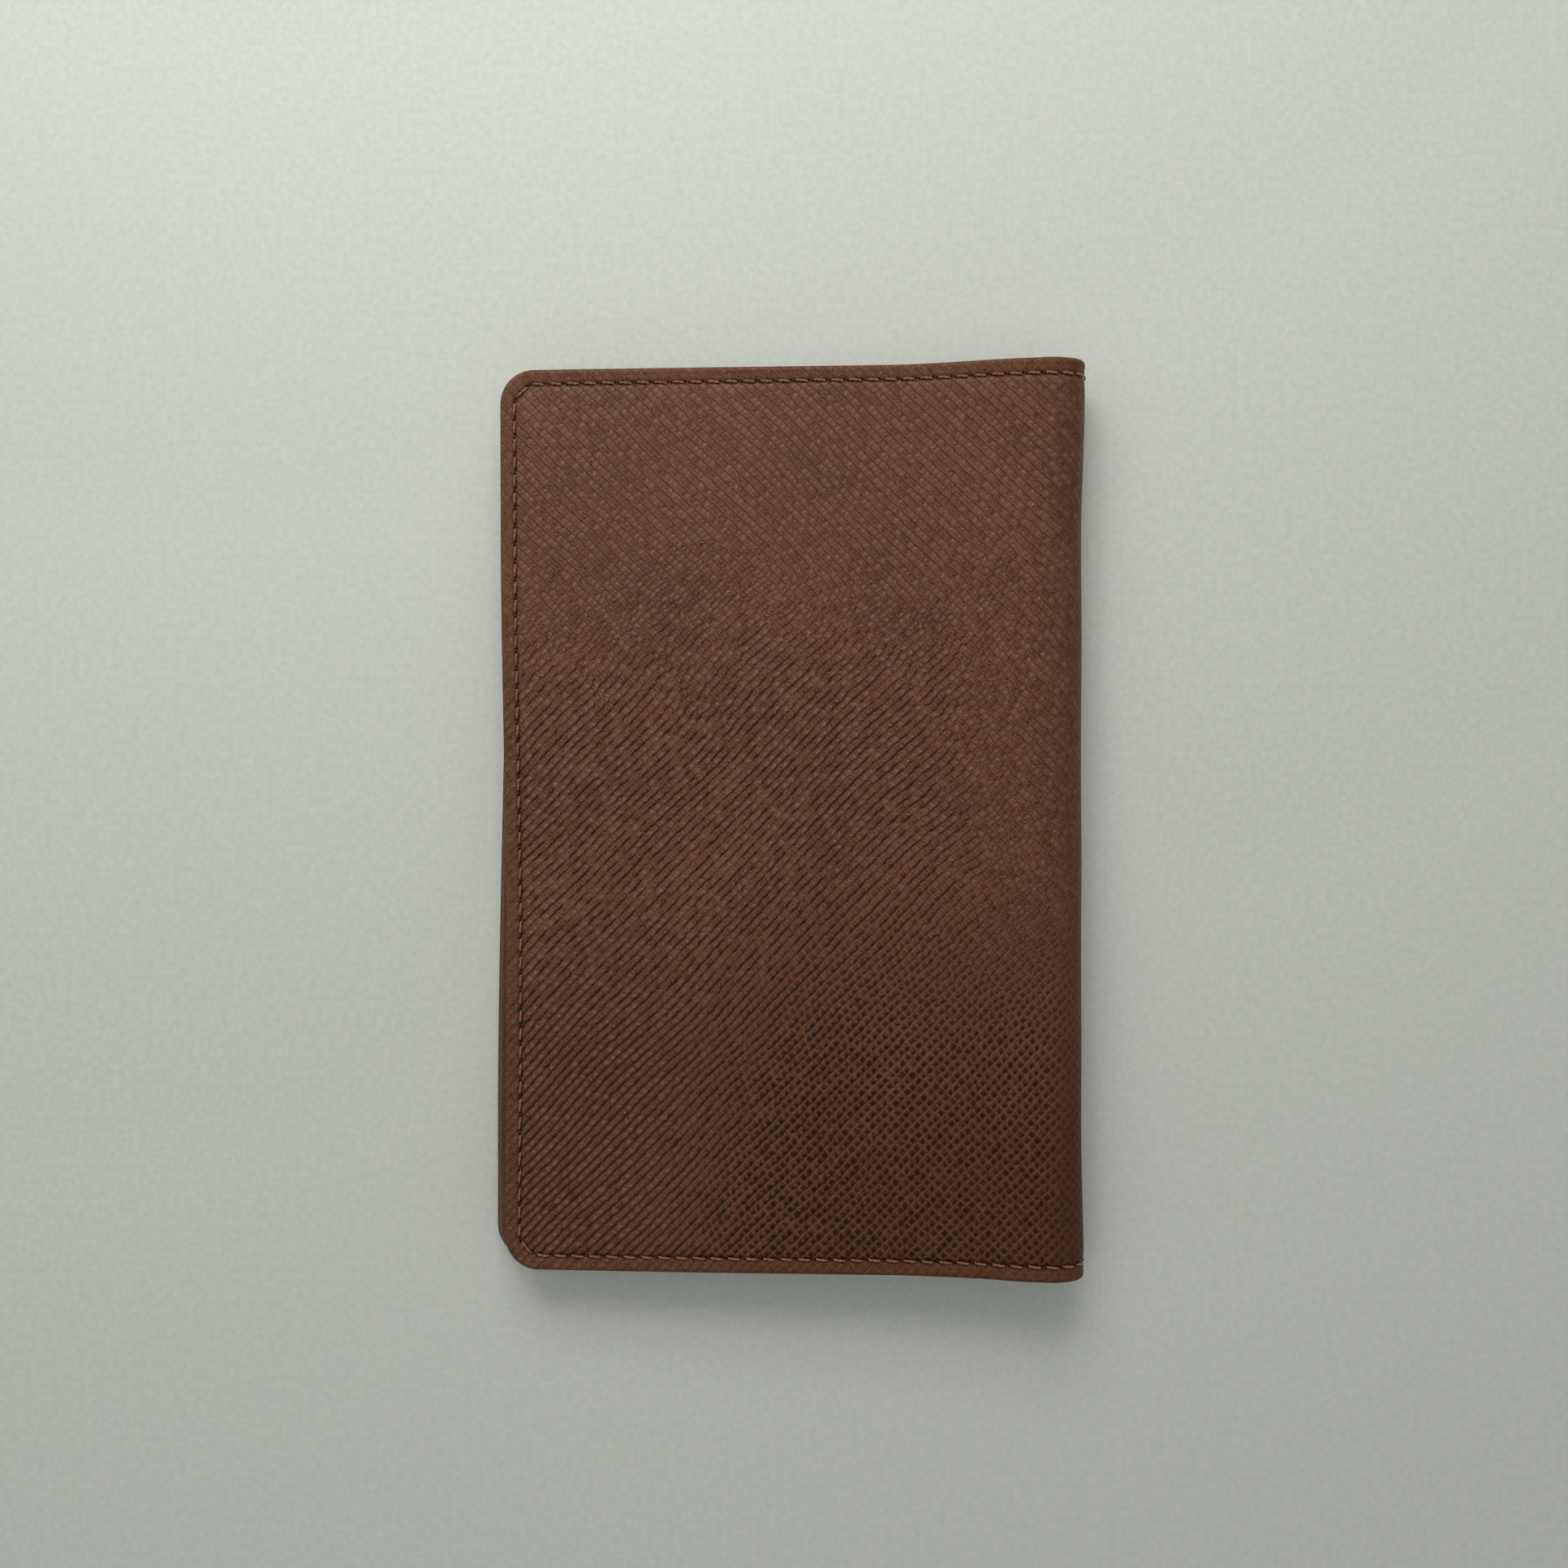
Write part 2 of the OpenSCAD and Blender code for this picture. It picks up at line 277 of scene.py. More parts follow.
def zone_lines(zone):
    """u lines of a zone of the sheet, the free edge's rounding left out."""
    near = lines(*MARGIN, (HEM_W, COVER - 3, 0.62), (COVER - 3, COVER, 0.4))
    ends = np.array([0.05, 0.12, 0.25])
    a, b = ZONE_U[zone], ZONE_U[zone + 1]
    if zone == BACK:
        return merged(near, lines((COVER, b, 0.33)), b - ends)
    if zone == FRONT:
        return merged(END - near[near < COVER_F - 0.01], [a], lines((a, FOLD_F, 0.33)), a + ends)
    return merged(lines((a, b, 0.33)), a + ends, b - ends)


def border(idx, zone):
    """Border of a cover's grid: along one side, round the free edge and back along the other side."""
    if zone == BACK:
        return np.concatenate([idx[::-1, 0], idx[0, 1:], idx[1:, -1]])
    return np.concatenate([idx[:, 0], idx[-1, 1:], idx[-2::-1, -1]])


def outward(p, v, zone):
    """Outward direction in (u, v) at a border point."""
    if zone not in (BACK, FRONT):
        return np.zeros(len(v)), np.sign(v)
    a, b = (CORNER - p) / CORNER, (np.abs(v) - (HALF - CORNER)) / CORNER
    corner = (a > 0) & (b > 0)
    r = np.maximum(np.hypot(a, b), 1e-9)
    free = (p <= RIM + 1e-6) & ~corner
    du = np.where(corner, -a / r, np.where(free, -1.0, 0.0))
    dv = np.sign(v) * np.where(corner, b / r, np.where(free, 0.0, 1.0))
    return (-du if zone == FRONT else du), dv


def whole_cells(m):
    return m[:-1, :-1] & m[1:, :-1] & m[1:, 1:] & m[:-1, 1:]


def add_rim(b, ring, zone, square, place, extra, outer, hem, hem_top):
    """Rows of faces from the outside, round the rim, to the hem. square is the place before rounding."""
    pu, pv = (a.ravel()[ring] for a in place)
    du, dv = outward(*(a.ravel()[ring] for a in square), zone)
    full = hem_top.ravel()[ring]
    along, off, edge = (extra[..., i].ravel()[ring] for i in range(3))
    rows = [outer.ravel()[ring]]
    steps, bulge = 11, 0.72
    for k in range(1, steps):
        phi = math.pi * k / steps
        push = RIM * math.sin(phi) ** bulge
        h = full / 2 * (1 - math.copysign(abs(math.cos(phi)) ** bulge, math.cos(phi)))
        run = 0.85 * (RIM + full / 2) * phi / (math.pi / 2)          # the grain goes on round the rim
        seam = np.stack([along, off - push, edge - push], -1)
        rows.append(b.points(pu + du * push, pv + dv * push, h, seam, (pu + du * run, pv + dv * run)))
    rows.append(hem.ravel()[ring])
    centre = skin(pu, pv, full / 2)
    for a, c in zip(rows[:-1], rows[1:]):
        b.quads(np.stack([a[:-1], a[1:], c[1:], c[:-1]], -1), (centre[:-1] + centre[1:]) / 2)


def add_wall(b, level, upper, lower, zone, us):
    """The step between two inner faces at a distance from the rim. It looks to the middle of the sheet."""
    jv = [int(np.argmin(np.abs(V_LINES - s * (HALF - level)))) for s in (-1, 1)]
    side = slice(jv[0] + 1, jv[1] + 1)
    if zone == BACK:
        iu = int(np.argmin(np.abs(us - level)))
        parts = [(slice(None, iu - 1, -1), jv[0]), (iu, side), (slice(iu + 1, None), jv[1])]
        rings = [[np.concatenate([i[s] for s in parts]) for i in (upper, lower)]]
    elif zone == FRONT:
        iu = int(np.argmin(np.abs(END - us - level)))
        parts = [(slice(0, iu + 1), jv[0]), (iu, side), (slice(iu - 1, None, -1), jv[1])]
        rings = [[np.concatenate([i[s] for s in parts]) for i in (upper, lower)]]
    else:
        rings = [[i[:, j] for i in (upper, lower)] for j in jv]
    p = np.concatenate(b.p)
    for r1, r2 in rings:
        q = np.stack([r1[:-1], r1[1:], r2[1:], r2[:-1]], -1)
        u, v, h = p[q].mean(1).T
        middle = skin(np.clip(u, 30, END - 30) if zone in (BACK, FRONT) else u, np.clip(v, -40, 40), h)
        b.quads(q, 2 * skin(u, v, h) - middle)


def leather_zone(name, zone, material):
    us = zone_lines(zone)
    cover = zone in (BACK, FRONT)
    p, v = np.meshgrid(END - us if zone == FRONT else us, V_LINES, indexing="ij")
    pr, vr = rounded(p, v) if cover else (p, v)
    u = END - pr if zone == FRONT else pr
    edge = np.minimum(p, HALF - np.abs(v)) if cover else HALF - np.abs(v)
    along, off = seam_of(pr, vr, zone)
    extra = np.stack([along, off, edge], -1)
    groove = 0.24 * np.exp(-(off / 0.42) ** 2)
    pucker = 0.05 * np.cos(2 * np.pi * along) * np.exp(-(off / 0.9) ** 2)
    roll = 0.10 * smooth(-off, -2.4, 0.1) * smooth(off, -2.4, -0.6)
    _, low_h, hem_h = layers(u)
    b = Build()
    relief = (groove + pucker + roll + wave(u, vr)) * smooth(edge, RIM - 0.01, RIM + 0.5)
    outer = b.points(u, vr, relief, extra)
    hem = b.points(u, vr, hem_h, extra)
    low = b.points(u, vr, low_h, extra)
    inside = b.points(u, vr, LEATHER_TOP, extra)
    in_hem, past_bead = edge <= HEM_W + 1e-4, edge >= BEAD - 1e-4
    b.grid(outer, None, "out")
    b.grid(hem, whole_cells(in_hem), "in")
    b.grid(low, whole_cells(in_hem & past_bead), "in")
    b.grid(inside, whole_cells(past_bead), "in")
    index = np.arange(u.size).reshape(u.shape)
    for ring in ([border(index, zone)] if cover else [index[:, 0], index[:, -1]]):
        add_rim(b, ring, zone, (p, v), (u, vr), extra, outer, hem, hem_h)
    add_wall(b, HEM_W, hem, low, zone, us)           # the hem's cut edge
    add_wall(b, BEAD, low, inside, zone, us)         # where the leather wraps the board
    return drop_loose(b.make(name, material))


def drop_loose(ob):
    """Removes points that no face uses."""
    me = ob.data
    used = np.zeros(len(me.vertices), bool)
    vi = np.zeros(len(me.loops), np.int32)
    me.loops.foreach_get("vertex_index", vi)
    used[vi] = True
    bm = bmesh.new()
    bm.from_mesh(me)
    bm.verts.ensure_lookup_table()
    bmesh.ops.delete(bm, geom=[bm.verts[i] for i in np.nonzero(~used)[0]], context="VERTS")
    bm.to_mesh(me)
    bm.free()
    return ob


def panel(name, half, p_lines, v_lines, low_h, high_h, edge_r, material, bulge=None, corners=True):
    """A thin panel with a rounded edge, on one cover. bulge(p, v, off) is added to its inner face."""
    p, v = np.meshgrid(p_lines, v_lines, indexing="ij")
    pr, vr = rounded(p, v) if corners else (p, v)
    u = pr if half == "back" else END - pr
    along, off = seam_of(pr, vr, BACK if half == "back" else FRONT)
    to_edge = [p - p_lines[0], p_lines[-1] - p, v - v_lines[0], v_lines[-1] - v]
    extra = np.stack([along, off, np.minimum.reduce(to_edge) + edge_r], -1)
    low = np.full(u.shape, float(low_h))
    high = np.full(u.shape, float(high_h))
    if bulge is not None:
        high = high + bulge(p, v, off)
    b = Build()
    top, bottom = b.points(u, vr, high, extra), b.points(u, vr, low, extra)
    b.grid(top, None, "in")
    b.grid(bottom, None, "out")
    g = np.arange(u.size).reshape(u.shape)
    ring = np.concatenate([g[:, 0], g[-1, 1:], g[-2::-1, -1], g[0, -2:0:-1]])
    pu, pv = u.ravel()[ring], vr.ravel()[ring]
    tu, tv = np.roll(pu, -1) - np.roll(pu, 1), np.roll(pv, -1) - np.roll(pv, 1)
    length = np.maximum(np.hypot(tu, tv), 1e-9)
    du, dv = tv / length, -tu / length
    if ((pu - pu.mean()) * du + (pv - pv.mean()) * dv).sum() < 0:
        du, dv = -du, -dv
    middle = (high.ravel()[ring] + low.ravel()[ring]) / 2
    half_h = (high.ravel()[ring] - low.ravel()[ring]) / 2
    rows = [top.ravel()[ring]]
    steps = 6
    for k in range(1, steps):
        phi = math.pi * k / steps
        push = edge_r * math.sin(phi) ** 0.8
        ex = extra.reshape(-1, 3)[ring] - (0, 0, push)
        rows.append(b.points(pu + du * push, pv + dv * push, middle + half_h * math.cos(phi), ex))
    rows.append(bottom.ravel()[ring])
    centre = skin(pu - du, pv - dv, middle)
    for a, c in zip(rows[:-1], rows[1:]):
        b.quads(np.stack([a, np.roll(a, -1), np.roll(c, -1), c], -1), (centre + np.roll(centre, -1, 0)) / 2)
    return b.make(name, material)


def lining_zone(name, zone, material):
    a = BEAD + GAP if zone == BACK else ZONE_U[zone]
    c = END - BEAD - GAP if zone == FRONT else ZONE_U[zone + 1]
    u_lines = lines((a, c, 0.4))
    if zone == BACK:
        u_lines = lines((a, COVER - 3, 1.1), (COVER - 3, c, 0.4))
    if zone == FRONT:
        u_lines = lines((a, FOLD_F + 3, 0.4), (FOLD_F + 3, c, 1.1))
    u, v = np.meshgrid(u_lines, lines((-HALF + BEAD + GAP, HALF - BEAD - GAP, 1.1)), indexing="ij")
    b = Build()
    top = b.points(u, v, layers(u)[1])
    low = b.points(u, v, layers(u)[0] + 0.02)
    b.grid(top, None, "in")
    b.grid(low, None, "out")
    g = np.arange(u.size).reshape(u.shape)
    ring = np.concatenate([g[:, 0], g[-1, 1:], g[-2::-1, -1], g[0, -2:0:-1]])
    mid = np.broadcast_to(skin(u_lines.mean(), 0.0, 1.6), (len(ring), 3))
    t, d = top.ravel()[ring], low.ravel()[ring]
    b.quads(np.stack([t, np.roll(t, -1), np.roll(d, -1), d], -1), mid)
    return b.make(name, material)


# ---------------------------------------------------------------- materials
def lin(r, g, b):
    """sRGB 0-255 to a linear colour."""
    def linear(c):
        return c / 12.92 if c <= 0.04045 else ((c + 0.055) / 1.055) ** 2.4
    return (*(linear(x / 255) for x in (r, g, b)), 1.0)


GROUND_1, GROUND_2, GROUND_PITTED = lin(108, 61, 33), lin(119, 67, 35), lin(108, 58, 31)
# the grey of the cell tops is a painted reflection, and the light specks are painted highlights
CELL_DARK, CELL_REFLECTION_GREY, SPECK_HIGHLIGHT = lin(80, 49, 38), lin(116, 84, 75), lin(182, 152, 138)
RIDGE_1, RIDGE_2, RIDGE_PITTED = lin(138, 83, 44), lin(156, 96, 52), lin(142, 92, 64)
# painted shade: the first dark in each groove, the fold and the seam's trough, also the dark of pores and
# specks; the second in each pit; the third in the stitch slits and between them
SHADE_AND_PORE_DARK, PIT_SHADE, HOLE_SHADE = lin(22, 9, 5), lin(14, 5, 3), lin(10, 5, 3)
RIM_BROWN, SHADED = lin(98, 60, 39), lin(46, 14, 5)


class Value:
    """An output of a node. Arithmetic with it adds a Math node."""

    def __init__(self, shade, socket):
        self.shade, self.socket = shade, socket

    def __add__(self, other):
        return self.shade.math("ADD", self, other)

    def __sub__(self, other):
        return self.shade.math("SUBTRACT", self, other)

    def __rsub__(self, other):
        return self.shade.math("SUBTRACT", other, self)

    def __mul__(self, other):
        return self.shade.math("MULTIPLY", self, other)

    def __abs__(self):
        return self.shade.math("ABSOLUTE", self)


class Shade:
    """A short way to write a node tree. Its functions take values or numbers, and most give a value."""

    def __init__(self, name):
        self.mat = bpy.data.materials.new(name)
        self.mat.use_nodes = True
        self.tree = self.mat.node_tree
        self.tree.nodes.clear()
        out = self.tree.nodes.new("ShaderNodeOutputMaterial")
        self.bsdf = self.tree.nodes.new("ShaderNodeBsdfPrincipled")
        self.tree.links.new(self.bsdf.outputs[0], out.inputs[0])

    def put(self, socket, value):
        if isinstance(value, Value):
            self.tree.links.new(value.socket, socket)
        elif value is not None:
            socket.default_value = value

    def node(self, kind, inputs, output=0, **settings):
        """A node, with its inputs by place or by name. Gives one of its outputs."""
        n = self.tree.nodes.new("ShaderNode" + kind)
        for key, value in settings.items():
            setattr(n, key, value)
        for key, value in inputs.items():
            self.put(n.inputs[key], value)
        return Value(self, n.outputs[output])

    def math(self, operation, *values):
        return self.node("Math", dict(enumerate(values)), operation=operation)

    def vector(self, operation, a, b=None, scale=None):
        return self.node("VectorMath", {0: a, 1: b, 3: scale}, operation=operation)

    def attr(self, name):
        return self.node("Attribute", {}, "Vector", attribute_name=name)

    def flat_sheet(self):
        """The place on the sheet, without its depth."""
        return self.vector("MULTIPLY", self.attr("sheet"), (1.0, 1.0, 0.0))

    def split(self, vec):
        n = self.tree.nodes.new("ShaderNodeSeparateXYZ")
        self.put(n.inputs[0], vec)
        return [Value(self, out) for out in n.outputs]

    def join(self, x, y, z):
        return self.node("CombineXYZ", {0: x, 1: y, 2: z})

    def noise(self, vec, scale, detail=2.0, rough=0.5, output="Fac"):
        inputs = {"Vector": vec, "Scale": scale, "Detail": detail, "Roughness": rough}
        return self.node("TexNoise", inputs, output)

    def cells(self, vec, scale, feature="F1", randomness=1.0, output="Distance"):
        return self.node("TexVoronoi", {"Vector": vec, "Scale": scale, "Randomness": randomness}, output,
                         feature=feature)

    def step(self, x, lo, hi, a=0.0, b=1.0):
        """Goes smoothly from a, where x is lo, to b, where x is hi."""
        return self.node("MapRange", {0: x, 1: lo, 2: hi, 3: a, 4: b}, interpolation_type="SMOOTHSTEP")

    def fade(self, x, lo, hi):
        return self.step(x, lo, hi, 1.0, 0.0)

    def blend(self, x, a, b):
        return self.step(x, 0.0, 1.0, a, b)

    def most(self, a, b):
        return self.math("MAXIMUM", a, b)

    def length(self, a, b):
        return self.math("SQRT", a * a + b * b)

    def mix(self, fac, a, b):
        return self.node("Mix", {0: fac, 6: a, 7: b}, 2, data_type="RGBA")

    def warp(self, vec, scale, amount):
        """Shifts a vector by noise, by up to about half of amount."""
        shift = self.vector("SUBTRACT", self.noise(vec, scale, 1.0, 0.5, "Color"), (0.5, 0.5, 0.5))
        return self.vector("ADD", vec, self.vector("SCALE", shift, scale=amount))

    def bump(self, height, distance, strength=1.0):
        return self.node("Bump", {"Strength": strength, "Distance": distance, "Height": height})

    def set(self, **values):
        for key, value in values.items():
            self.put(self.bsdf.inputs[key.replace("_", " ")], value)
        return self.mat


class CrossGrain(Shade):
    """Domed cells between raised lines at about 45 degrees, grooved, and pitted at the lower right. The dark
    of each groove, pit and stitch slit is painted shade, and the cell tops carry a painted grey reflection
    and painted highlights.
    """

    def __init__(self):
        super().__init__("cross_grain_leather")
        self.flat = self.flat_sheet()
        self.along, self.off, self.d_edge = self.split(self.attr("seam"))
        self.uneven = self.noise(self.flat, 0.8, 2.0)
        self.speck = self.noise(self.flat, 3.4, 2.0, 0.7)
        self.find_regions()
        self.lay_rows()
        self.lay_cells()

    def find_regions(self):
        """Where the grain is pitted, where its lines lean down to the right, and where they are roped."""
        sx, self.up, _ = self.split(self.flat)
        self.across = self.math("PINGPONG", sx, END / 2)      # the same on both covers, greatest at the fold
        wander = (self.noise(self.flat, 0.035, 1.0) - 0.5) * 40.0
        low = self.fade(self.up + wander * 0.5, -68.0, 14.0)
        self.pitted = low * self.step(self.across + wander * 0.4, 14.0, 58.0)
        high = self.step(self.up + wander * 0.7, 6.0, 54.0)
        by_fold = self.step(self.across + wander * 0.3, 56.0, 86.0, 0.0, 0.75)
        self.lean = self.most(high, by_fold * (1.0 - self.pitted))
        self.roped = self.fade(self.up + wander, -40.0, 0.0) * (1.0 - self.pitted)
        # the grain is pressed flatter on the turned rim and along the fold
        on_rim = self.step(self.d_edge, 1.6, 3.1, 0.62, 1.0)
        self.keep = on_rim * self.step(self.across, 84.5, 88.5, 1.0, 0.55)

    def lay_rows(self):
        """Counts two families of rows: the whole part is a row's number, the fraction the place across it."""
        x, y, _ = self.split(self.warp(self.warp(self.warp(self.flat, 0.03, 3.6), 0.30, 0.22), 1.15, 0.44))
        rising, rising_short, falling = (math.sqrt(0.5) / width for width in (1.20, 0.88, 1.22))
        short = self.math("GREATER_THAN", self.lean, 0.5) * (rising_short - rising)
        row_a = (x - y) * (short + rising)
        row_b = (x + y) * falling
        shift = self.lean * 2.4
        jump_a = self.jump(row_b, 3.5) * shift
        jump_b = self.jump(row_a, 7.5) * (self.step(self.pitted, 0.2, 0.9, 2.4, 0.7) - shift)
        self.a, self.b = row_a + jump_a, row_b + jump_b
        self.fa, self.fb = self.math("FRACT", self.a), self.math("FRACT", self.b)

    def jump(self, row, seed):
        """A number about 0 that differs from row to row."""
        return self.noise(self.join(self.math("FLOOR", row), seed, 0.5), 0.83, 0.0) - 0.5

    def lay_cells(self):
        """The place in a cell, and three numbers that differ from cell to cell."""
        self.ca = (self.fa + (self.uneven - 0.5) * 0.35) - 0.48
        self.cb = self.fb - 0.5
        self.radius = self.length(self.ca, self.cb)
        self.dome = self.fade(self.radius, 0.10, 0.52)
        middle = self.join(self.math("FLOOR", self.a) + 0.5, self.math("FLOOR", self.b) + 0.5, 0.5)
        self.odd, self.odd_2, self.odd_3 = self.split(self.cells(middle, 1.0, "F1", 0.0, "Color"))

    def near_line(self, fraction, width):
        """1 on the line between two rows, 0 beyond width of it."""
        return self.fade(abs(self.math("FRACT", fraction + 0.5) - 0.5), 0.02, width)

    def ridges(self):
        broad = self.step(self.pitted, 0.1, 0.8, 0.12, 0.27)
        weak = self.most(self.roped, self.pitted * self.fade(self.across, 48.0, 72.0))
        line_a = self.near_line(self.fa, broad) * self.blend(self.lean, 1.0, 0.80)
        faint = self.blend(self.lean, 0.8, 1.0) * self.blend(weak, 1.0, 0.5)
        line_b = self.near_line(self.fb, broad) * faint
        worn = self.step(self.uneven, 0.30, 0.60, 0.40, 1.0) * self.blend(self.roped, 1.0, 0.6)
        return self.most(line_a, line_b) * worn

    def groove_depth_and_shade(self):
        """A groove deepens slowly across a row and ends at the next line. Painted dark, it is painted shade.
        """
        start = self.blend(self.roped, 0.50, 0.36)
        groove_a = self.step(self.fa, start, 0.82) * self.fade(self.fa, 0.86, 0.96)
        by_fold = self.step(self.across, 44.0, 72.0, 1.0, self.blend(self.pitted, 1.0, 0.35))
        patches = self.step(self.noise(self.flat, 0.45, 2.0), 0.34, 0.60, 0.35, 1.0)
        groove_a = groove_a * (self.blend(self.lean, 1.0, 0.22) * by_fold)
        groove_a = groove_a * self.most(patches, self.roped * 0.9)
        ends = self.fade(self.fb, 0.86, 0.96) * self.blend(self.lean, 0.30, 0.50)
        return self.most(groove_a, self.step(self.fb, 0.60, 0.84) * ends)

    def pit_shade(self):
        """The painted shade of a pit: a slanted drop at the lower edge of its cell, and no two are alike."""
        pa = self.ca - self.odd_2 * 0.16
        pb = (self.cb + (self.odd_3 - 0.5) * 0.22) * 0.86
        reach = self.length(pa, pb) * self.blend(self.odd, 1.35, 0.85)
        depth = self.step(self.pitted, 0.0, 0.7) * self.step(self.odd_3, 0.0, 0.3, 0.70, 1.0)
        return self.fade(reach, 0.14, 0.44) * depth

    def stitch_holes(self):
        """The slanted slits that the stitches end in, without and with the dark line between two of them.
        Painted dark, both are painted shade.
        """
        phase = self.math("FRACT", self.along + 0.5) - 0.5      # 0 between two stitches
        slant = abs(self.off + phase * 0.45)
        slit = self.fade(slant, 0.08, 0.23) * self.fade(abs(abs(phase) - 0.120), 0.03, 0.085)
        bridge = self.fade(slant, 0.04, 0.18) * self.step(abs(phase), 0.12, 0.20, 0.35, 0.0)
        return slit, self.most(slit, bridge)

    def paint(self, amount, colour):
        self.base = self.mix(amount, self.base, colour)

    def paint_grain(self, ridges, groove_depth_and_shade, pit_shade):
        tone = self.noise(self.flat, 0.045, 3.0, 0.6)
        top = self.mix(self.step(self.odd, 0.0, 1.0), CELL_DARK, CELL_REFLECTION_GREY)
        ridge = self.mix(self.pitted, self.mix(self.step(tone, 0.3, 0.7), RIDGE_1, RIDGE_2), RIDGE_PITTED)
        self.base = self.mix(self.step(tone, 0.35, 0.65), GROUND_1, GROUND_2)
        self.paint(self.pitted * 0.85, GROUND_PITTED)
        # painted reflection: the cell tops turn grey, mixed at random with their own darker tone, less where
        # the grain is pitted
        self.paint(self.fade(self.radius, 0.24, 0.56) * self.blend(self.pitted, 0.85, 0.3), top)
        # painted highlights: light specks on the domes
        highlight_on_domes = self.dome * self.blend(self.pitted, 0.55, 0.1)
        self.paint(self.step(self.speck, 0.54, 0.66) * highlight_on_domes, SPECK_HIGHLIGHT)
        self.paint(ridges * (self.keep * 0.80), ridge)
        # painted shade in each groove
        self.paint(groove_depth_and_shade * (self.keep * 0.92), SHADE_AND_PORE_DARK)
        # painted shade in each pit
        self.paint(pit_shade * (self.keep * 0.94), PIT_SHADE)

    def paint_shade_rim_and_pores(self):
        """Painted shade darkens the fold and the lower right; the rim is browner with specks, and pores lie
        all over.
        """
        # painted shade where the sheet turns down into the fold
        self.paint(self.step(self.across, 82.0, 90.0, 0.0, 0.22), SHADE_AND_PORE_DARK)
        # painted shade, darker towards the lower right
        self.paint(self.step(self.up, -62.0, -8.0, 0.40, 0.0) * self.step(self.across, 14.0, 78.0), SHADED)
        rim = self.fade(self.d_edge, 1.9, 2.5)
        self.paint(rim * 0.40, RIM_BROWN)
        self.paint(rim * self.step(self.speck, 0.50, 0.66, 0.0, 0.28), RIDGE_2)
        self.paint(rim * self.step(self.speck, 0.34, 0.46, 0.35, 0.0), SHADE_AND_PORE_DARK)
        pores = self.cells(self.warp(self.flat, 1.0, 0.6), 0.85)
        self.paint(self.step(pores, 0.08, 0.24, 0.55, 0.0), SHADE_AND_PORE_DARK)
        self.paint(self.fade(self.d_edge, 0.02, 0.34) * 0.5, SHADE_AND_PORE_DARK)

    def look(self):
        ridges, groove_depth_and_shade, pit_shade = self.ridges(), self.groove_depth_and_shade(), self.pit_shade()
        slit, hole_depth_and_shade = self.stitch_holes()
        self.paint_grain(ridges, groove_depth_and_shade, pit_shade)
        self.paint_shade_rim_and_pores()
        # painted shade in the seam's shallow trough
        self.paint(self.fade(abs(self.off), 0.12, 0.62) * 0.40, SHADE_AND_PORE_DARK)      # the seam's shallow trough
        # painted shade in the stitch slits and along the line between them
        self.paint(hole_depth_and_shade, HOLE_SHADE)
        domes = self.dome * (self.blend(self.pitted, 0.60, -0.9) * self.blend(self.lean, 1.0, 0.25))
        relief = ridges * 0.85 + domes + self.speck * 0.30 - groove_depth_and_shade * 0.9
        height = relief * self.keep - hole_depth_and_shade * 2.2
        rough = self.step(self.most(slit, ridges) * 0.7 + self.speck * 0.5, 0.1, 0.9, 0.43, 0.70)
        return self.set(Base_Color=self.base, Roughness=rough, Normal=self.bump(height, 0.00012),
                        Specular_IOR_Level=0.20)


def inner_leather():
    s = Shade("inner_leather")
    flat = s.warp(s.flat_sheet(), 0.8, 0.5)
    pebble = s.step(s.cells(flat, 1.55, "DISTANCE_TO_EDGE", 0.9), 0.0, 0.16)
    fine = s.noise(flat, 5.0, 2.0, 0.6)
    tone = s.noise(flat, 0.07, 3.0, 0.6)
    _, _, edge = s.split(s.attr("seam"))
    base = s.mix(s.step(tone, 0.3, 0.7), lin(86, 54, 38), lin(104, 66, 46))
    base = s.mix(s.blend(pebble, 0.55, 0.0), base, lin(52, 31, 22))
    base = s.mix(s.step(edge, 0.1, 0.7, 0.45, 0.0), base, lin(126, 84, 58))
    return s.set(Base_Color=base, Roughness=s.step(fine, 0.2, 0.8, 0.46, 0.62),
                 Normal=s.bump(pebble + fine * 0.35, 0.00005), Specular_IOR_Level=0.4)


def cloth():
    s = Shade("lining_cloth")
    sheet = s.warp(s.flat_sheet(), 0.5, 0.12)
    x, y, _ = s.split(sheet)
    k = 2 * math.pi / 0.56           # the weave repeats after 0.56 mm or twice that
    warp, weft = s.math("SINE", x * k), s.math("SINE", y * k)
    over, under = s.math("SINE", (x + y) * (k / 2)), s.math("SINE", (x - y) * (k / 2))
    weave = warp * (over * 0.5) + weft * (under * 0.5)
    slub = s.noise(s.vector("MULTIPLY", sheet, (6.0, 0.6, 0.0)), 1.0, 2.0)
    level = s.step(weave + slub * 0.6, -0.7, 1.1)
    base = s.mix(level, lin(38, 27, 22), lin(88, 66, 52))
    base = s.mix(s.step(s.noise(sheet, 0.06, 2.0), 0.35, 0.7, 0.0, 0.35), base, lin(70, 48, 36))
    return s.set(Base_Color=base, Roughness=0.88, Normal=s.bump(level, 0.00009), Sheen_Weight=0.35,
                 Sheen_Roughness=0.5, Specular_IOR_Level=0.2)


def board():
    s = Shade("stiffening_board")
    sheet = s.attr("sheet")
    fibre = s.noise(s.vector("MULTIPLY", sheet, (0.4, 3.0, 1.0)), 1.0, 4.0, 0.7)
    base = s.mix(s.step(fibre, 0.3, 0.7), lin(146, 136, 118), lin(178, 168, 148))
    base = s.mix(s.step(s.cells(sheet, 0.9), 0.05, 0.2, 0.4, 0.0), base, lin(110, 96, 78))
    return s.set(Base_Color=base, Roughness=0.9, Normal=s.bump(fibre, 0.00005, 0.8))


